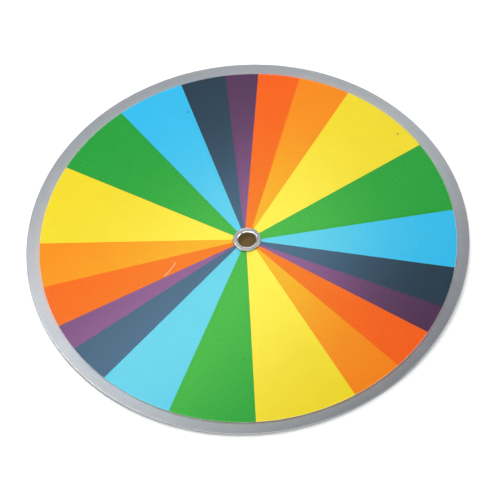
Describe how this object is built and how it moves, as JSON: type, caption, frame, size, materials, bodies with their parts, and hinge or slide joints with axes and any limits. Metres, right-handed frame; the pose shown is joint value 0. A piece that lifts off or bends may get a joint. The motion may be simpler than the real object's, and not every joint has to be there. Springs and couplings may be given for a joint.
{
  "type": "spinning colour disc",
  "caption": "Round metal disc faced with coloured sectors, turning flat on a central eyelet that takes a pin or spindle, as a game spinner or colour-mixing disc.",
  "frame": {"origin": "on the disc's axis, at the eyelet's clenched rear face, which the object rests on", "axes": "+Z along the axis and out of the coloured face; +X and +Y lie in the disc, with the first green sector just anticlockwise of +X"},
  "size_m": [0.2, 0.2, 0.0034],
  "materials": {
    "aluminium": "satin",
    "nickel": "satin",
    "green_film": "satin",
    "yellow_film": "satin",
    "orange_film": "satin",
    "red_film": "satin",
    "violet_film": "satin",
    "indigo_film": "satin",
    "blue_film": "satin"
  },
  "bodies": {
    "hub": {"eyelet": "nickel", "eyelet_washer": "nickel"},
    "disc": {"backing_plate": "aluminium", "green_sector_1": "green_film", "yellow_sector_1": "yellow_film", "orange_sector_1": "orange_film", "red_sector_1": "red_film", "violet_sector_1": "violet_film", "indigo_sector_1": "indigo_film", "blue_sector_1": "blue_film", "green_sector_2": "green_film", "yellow_sector_2": "yellow_film", "orange_sector_2": "orange_film", "red_sector_2": "red_film", "violet_sector_2": "violet_film", "indigo_sector_2": "indigo_film", "blue_sector_2": "blue_film", "green_sector_3": "green_film", "yellow_sector_3": "yellow_film", "orange_sector_3": "orange_film", "red_sector_3": "red_film", "violet_sector_3": "violet_film", "indigo_sector_3": "indigo_film", "blue_sector_3": "blue_film"}
  },
  "joints": [
    {"name": "disc_spin", "type": "hinge", "parent": "hub", "child": "disc", "pos_m": [0, 0, 0.0016], "axis": [0, 0, 1], "continuous": true}
  ]
}
